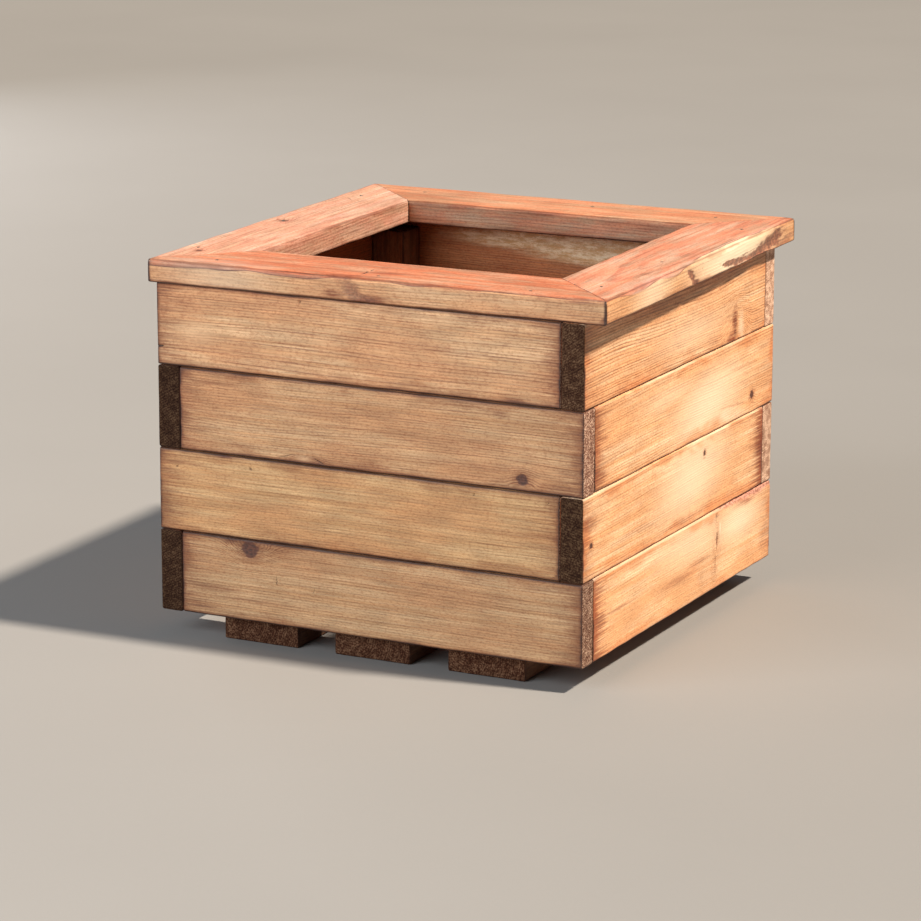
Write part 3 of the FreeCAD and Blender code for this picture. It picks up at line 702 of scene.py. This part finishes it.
    def done(self):
        """Fine relief from the fibres, rings, sawn flecks and cracks; sawn ends are rougher and duller."""
        fibres = self.math("MULTIPLY", self.fibre, 0.6)
        rings = self.math("MULTIPLY", self.band, 0.35)
        flecks = self.math("MULTIPLY", self.math("MULTIPLY", self.fleck, self.end), 1.2)
        height = self.math("ADD", self.math("ADD", fibres, rings), flecks)
        height = self.math("SUBTRACT", height, self.math("MULTIPLY", self.split, 1.2))
        rough = self.smooth(self.fibre, 0.3, 0.7, self.look.rough, self.look.rough + 0.16)
        rough = self.math("ADD", rough, self.math("MULTIPLY", self.end, 0.2))
        shine = self.smooth(self.end, 0, 1, 0.5, 0.12)
        return self.finish(self.colour, rough, height, 0.4, Specular_IOR_Level=shine)


# Stained timber; the same made paler and more orange for the right wall as painted sunlight; and the plain
# timber inside.
HONEY = Look(light=tone(242, 199, 153), dark=tone(216, 164, 116), late=tone(150, 88, 58),
             stain=tone(158, 104, 76), tint=tone(218, 161, 114), edge=tone(202, 174, 156),
             pale=tone(244, 204, 160), rough=0.5, fibre=0.19)
SUNLIT_AMBER = Look(light=tone(250, 212, 170), dark=tone(234, 176, 124), late=tone(160, 94, 54),
             stain=tone(152, 92, 62), tint=tone(238, 178, 126), edge=tone(238, 192, 154),
             pale=tone(252, 230, 200), rough=0.45, fibre=0.14)
BARE = Look(light=tone(176, 130, 96), dark=tone(134, 94, 66), late=tone(92, 60, 44),
            stain=tone(150, 112, 94), tint=tone(118, 84, 62), edge=tone(200, 180, 170),
            pale=tone(200, 170, 140), rough=0.75, fibre=0.19)
UNSHADED = (255, 255, 255)
ROUGH_SAWN = (130, 112, 100)
USUAL_RINGS, USUAL_SOAK = (2.8, 0.5), (0.5, 0.5)
# The rings' spacing in millimetres, and how strongly late wood shows.
RINGS = {"right_board_1": (2.6, 0.95), "right_board_2": (2.8, 0.6), "right_board_4": (2.8, 0.3),
         "front_board_1": (3.4, 0.7), "front_board_2": (2.8, 0.6), "front_board_3": (3.0, 0.4)}
# How strongly stain soaked into the ends at along < 0 and along > 0.
SOAK = {"right_board_1": (0.35, 0.1), "right_board_2": (0.6, 0.2), "right_board_3": (0.45, 0.9),
        "right_board_4": (0.8, 0.3)}
# Screen colours that a board's faces, and its sawn ends, are multiplied by. On front_board_2 to
# front_board_4 the faces' colours are painted shade, darker towards the bottom.
SHADES = {"front_board_2": (240, 238, 234), "front_board_3": (242, 242, 230),
          "front_board_4": (230, 232, 230), "right_board_1": (255, 252, 250)}
SAWN_BY_BOARD = {"front_board_2": (224, 216, 216), "front_board_4": (192, 186, 184),
                 "back_board_1": UNSHADED, "back_board_3": (244, 244, 244), "right_board_3": (106, 94, 80)}
SAWN_BY_SIDE = {"front": (225, 220, 218), "right": (120, 106, 92), "back": (225, 220, 218),
                "left": (96, 84, 72)}
CLEAN = {"back_board_1": 0.85, "back_board_3": 0.6}
# Linear gains of the cap's second coat.
CAP_COATS = {"front": ((0.78, 0.47, 0.46), (0.66, 0.60, 0.72)),
             "right": ((0.90, 0.64, 0.76), (0.76, 0.80, 1.08)),
             "back": ((0.86, 0.63, 0.66), (0.74, 0.75, 0.88)),
             "left": ((0.90, 0.82, 1.15), (0.84, 0.91, 1.25))}


def metal(name, colour, tarnish, roughness):
    """Plated steel with dull patches and fine scratches."""
    g = Graph(name)
    place = g.vector("MULTIPLY", g.node("TexCoord").outputs["Object"], TO_MM)
    patch = g.smooth(g.noise(place, (2.2, 2.2, 2.2), 4, 0.65), 0.42, 0.62)
    scratch = g.noise(place, (3, 0.2, 0.2), 2, 0.5)
    tinted = g.mix(g.smooth(scratch, 0.3, 0.7, 0, 0.25), colour, tarnish)
    colour = g.mix(g.math("MULTIPLY", patch, 0.7), tinted, tarnish)
    rough = g.smooth(patch, 0, 1, roughness, roughness + 0.35)
    return g.finish(colour, rough, scratch, 0.05, Metallic=1.0)


# ---------------------------------------------------------------- pieces

def quarter_turn(vector, turns, turn=0.0):
    """The vector turned about Z by so many quarter turns and by turn more."""
    angle = turns * math.pi / 2 + turn
    x, y, z = vector
    return (x * math.cos(angle) - y * math.sin(angle), x * math.sin(angle) + y * math.cos(angle), z)


def sizes(node):
    """The centre of a CAD node's box in metres, and the box's size in millimetres."""
    low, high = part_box(node)
    return (low + high) / 2, (high - low) / MM


def wall_board(side, turns, course):
    """One board of a wall; the front wall's axes are turned by quarter turns for the other sides."""
    node = f"{side}_board_{course}"
    centre, size = sizes(node)
    thick, length = sorted((size.x, size.y))
    half = (length / 2, size.z / 2, thick / 2)
    axes = [quarter_turn(axis, turns) for axis in ((1, 0, 0), (0, 0, 1), (0, -1, 0))]
    seed = 100 * turns + course
    spots = MARKS[node]
    mesh = timber(node, half, ((BOARD_EASE,) * 2,) * 2, END_EASE, spots, [], seed)
    add_timber(mesh, node, centre, axes, wall_stain(node, side, half[0], seed))


def wall_stain(node, side, half_length, seed):
    rng = np.random.default_rng(seed + 50)
    pith_across = float(rng.choice((-1, 1)) * rng.uniform(90, 190))
    pith_out = float(rng.choice((-1, 1)) * rng.uniform(30, 90))
    # The right wall gets the paler, more orange copy: painted sunlight.
    wood = Wood(node + "_stain", SUNLIT_AMBER if side == "right" else HONEY, MARKS[node], seed)
    wood.grow((pith_across, pith_out), *RINGS.get(node, USUAL_RINGS))
    wood.paint(SHADES.get(node, UNSHADED))
    wood.darken_inside()
    wood.mark()
    wood.soak_ends(half_length, *SOAK.get(node, USUAL_SOAK))
    if side == "right":
        # Painted shade under the lower arris only, with dirt, and a painted highlight on the upper arris.
        wood.edge(wood.across, 0.85, 0.0, 1.9)
        wood.paint_arris_highlight()
    else:
        # Dirt with painted shade in the grooves, at both arrises.
        wood.edge(wood.across, 0.9, 0.8, 2.8)
    wood.heal()
    wood.saw(SAWN_BY_BOARD.get(node, SAWN_BY_SIDE[side]), CLEAN.get(node, 0.0))
    return wood.done()


def cap_board(side, turns):
    """One mitred board of the cap, which is a square turned by CAP_TURN that just fills the CAD box."""
    node = "cap_" + side
    low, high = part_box(node)
    reach = max(abs(value) for value in (*cad_box[0].xy, *cad_box[1].xy)) / MM
    outer = reach / (math.cos(CAP_TURN) + math.sin(CAP_TURN))
    middle = outer - CAP_WIDTH / 2
    half = (middle, CAP_WIDTH / 2, (high.z - low.z) / MM / 2)
    eases = ((CAP_UNDER_EASE, CAP_OUTER_ROUND), (CAP_UNDER_EASE, CAP_INNER_ROUND))
    centre = Vector(quarter_turn((0, -middle * MM, 0), turns, CAP_TURN))
    centre.z = (low.z + high.z) / 2
    axes = [quarter_turn(axis, turns, CAP_TURN) for axis in ((1, 0, 0), (0, 1, 0), (0, 0, 1))]
    nails = head_dimples(node, centre, axes, half)
    spots = MARKS[node]
    seed = 900 + turns
    mesh = timber(node, half, eases, MITRE_EASE, spots, nails, seed, mitre=middle, swell=0.3)
    add_timber(mesh, node, centre, axes, cap_stain(node, side, half, seed))


def cap_stain(node, side, half, seed):
    # The caps take the sunlit copy's paler colour for their pale patches, the painted highlight on
    # cap_right's outer arris among them.
    wood = Wood(node + "_stain", HONEY._replace(pale=SUNLIT_AMBER.pale), MARKS[node], seed)
    wood.grow((float(20 * (seed % 4) - 30), -70.0), 3.4, 0.5)
    wood.paint(UNSHADED)
    wood.mark()
    wood.coat(CAP_COATS[side], half[2])
    # Dirt with painted shade, strongest at the lower arrises, under the cap.
    wood.edge(wood.out, 0.85, 0.3, 2.2, 6.0)
    wood.corner(half[0] + CAP_WIDTH / 2)
    wood.heal()
    wood.saw(UNSHADED)
    return wood.done()


def square_timber(node, axes_order, seed):
    """A post, bearer or slat; axes_order says which of X, Y and Z runs along, across and out."""
    centre, size = sizes(node)
    half = [size[axis] / 2 for axis in axes_order]
    directions = [[float(i == axis) for i in range(3)] for axis in axes_order]
    dimples = head_dimples(node, centre, directions, half)
    mesh = timber(node, half, ((ROUGH_EASE,) * 2,) * 2, END_EASE, [], dimples, seed, swell=0.4)
    wood = Wood(node + "_wood", BARE, [], seed)
    wood.grow((12.0, -30.0), 2.8, 0.6)
    wood.paint(UNSHADED)
    wood.soak_ends(half[0], 0.3, 0.3)
    wood.edge(wood.across, 0.5, 0.5, 2.2)
    wood.heal()
    wood.saw(ROUGH_SAWN)
    add_timber(mesh, node, centre, directions, wood.done())


def build_pieces():
    for turns, side in enumerate(SIDES):
        for course in COURSES:
            wall_board(side, turns, course)
        cap_board(side, turns)
    for number, corner in enumerate(("front_left", "front_right", "back_right", "back_left")):
        square_timber("corner_post_" + corner, (2, 0, 1), 300 + number)
    for number, side in enumerate(("front", "back")):
        square_timber("floor_bearer_" + side, (0, 1, 2), 320 + number)
    for number, row in enumerate(("left", "middle", "right")):
        square_timber("base_slat_" + row, (1, 2, 0), 330 + number)


def finish_fasteners():
    screws = metal("plated_screw_steel", tone(196, 176, 128), tone(120, 104, 76), 0.3)
    nails = metal("galvanised_nail_steel", tone(170, 168, 162), tone(104, 96, 88), 0.35)
    for group in FASTENERS:
        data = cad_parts[group].data
        data.materials.clear()
        data.materials.append(nails if group == "cap_nails" else screws)


# ---------------------------------------------------------------- stage

CAMERA_AZIMUTH, CAMERA_ELEVATION, CAMERA_ROLL = (math.radians(angle) for angle in (26.85, 13.76, 0.084))
CAMERA_DISTANCE = 4.3747
CAMERA_SLIDE = (-0.01503, -0.04295)            # to the right and up, so that the box sits off centre
CAMERA_LENS = 147.85
FLOOR_REACH = 9.0
LAMP_DISTANCE = 4.2


def add_floor():
    mesh = bpy.data.meshes.new("floor")
    corners = [(-FLOOR_REACH, -FLOOR_REACH, 0), (FLOOR_REACH, -FLOOR_REACH, 0),
               (FLOOR_REACH, FLOOR_REACH, 0), (-FLOOR_REACH, FLOOR_REACH, 0)]
    mesh.from_pydata(corners, [], [(0, 1, 2, 3)])
    g = Graph("pale_floor")
    place = g.vector("MULTIPLY", g.node("TexCoord").outputs["Object"], TO_MM)
    cloud = g.noise(place, (700, 700, 700), 3, 0.5)
    grit = g.noise(place, (4, 4, 4), 3, 0.6)
    colour = g.mix(cloud, tone(134, 133, 132), tone(142, 141, 140))
    mesh.materials.append(g.finish(colour, 0.85, grit, 0.2))
    floor = bpy.data.objects.new("floor", mesh)
    bpy.context.scene.collection.objects.link(floor)


def add_light(name, kind, energy, colour, towards, distance, **settings):
    """A lamp that shines on the middle of the box from the direction towards."""
    light = bpy.data.lights.new(name, kind)
    light.energy, light.color = energy, colour
    for key, value in settings.items():
        setattr(light, key, value)
    lamp = bpy.data.objects.new(name, light)
    direction = Vector(towards).normalized()
    lamp.rotation_euler = direction.to_track_quat("Z", "Y").to_euler()
    lamp.location = direction * distance + Vector((0, 0, cad_box[1].z / 2))
    bpy.context.scene.collection.objects.link(lamp)


def add_lights():
    add_light("key", "SUN", 6.2, (1.0, 0.87, 0.72), (0.554, 0.078, 0.829), LAMP_DISTANCE,
              angle=math.radians(4))
    add_light("fill", "AREA", 138, (0.93, 0.97, 1.0), (-0.35, -0.85, 0.4), LAMP_DISTANCE, size=3.0)
    add_light("back_fill", "AREA", 55, (0.96, 0.97, 1.0), (-0.86, 0.5, 0.12), LAMP_DISTANCE, size=2.0)
    world = bpy.data.worlds.new("soft_light")
    world.use_nodes = True
    world.node_tree.nodes["Background"].inputs["Color"].default_value = (0.95, 0.97, 1.0, 1.0)
    world.node_tree.nodes["Background"].inputs["Strength"].default_value = 0.12
    bpy.context.scene.world = world
    bpy.context.scene.view_settings.view_transform = "Standard"


def add_camera():
    """The photo's view, aimed at the middle of the walls."""
    azimuth, elevation, roll = CAMERA_AZIMUTH, CAMERA_ELEVATION, CAMERA_ROLL
    flat = math.cos(elevation)
    back = Vector((math.sin(azimuth) * flat, -math.cos(azimuth) * flat, math.sin(elevation)))
    level = Vector((math.cos(azimuth), math.sin(azimuth), 0))
    upright = back.cross(level)
    right = level * math.cos(roll) + upright * math.sin(roll)
    up = upright * math.cos(roll) - level * math.sin(roll)
    near_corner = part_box("corner_post_front_left")[0]
    far_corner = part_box("corner_post_back_right")[1]
    aim = (near_corner + far_corner) / 2
    aim.z = cad_box[1].z / 2
    camera = bpy.data.objects.new("camera", bpy.data.cameras.new("camera"))
    camera.data.lens = CAMERA_LENS
    camera.data.sensor_width = 36
    camera.location = aim + back * CAMERA_DISTANCE + right * CAMERA_SLIDE[0] + up * CAMERA_SLIDE[1]
    camera.rotation_euler = Matrix((right, up, back)).transposed().to_euler()
    bpy.context.scene.collection.objects.link(camera)
    bpy.context.scene.camera = camera


build_pieces()
finish_fasteners()
add_floor()
add_lights()
add_camera()
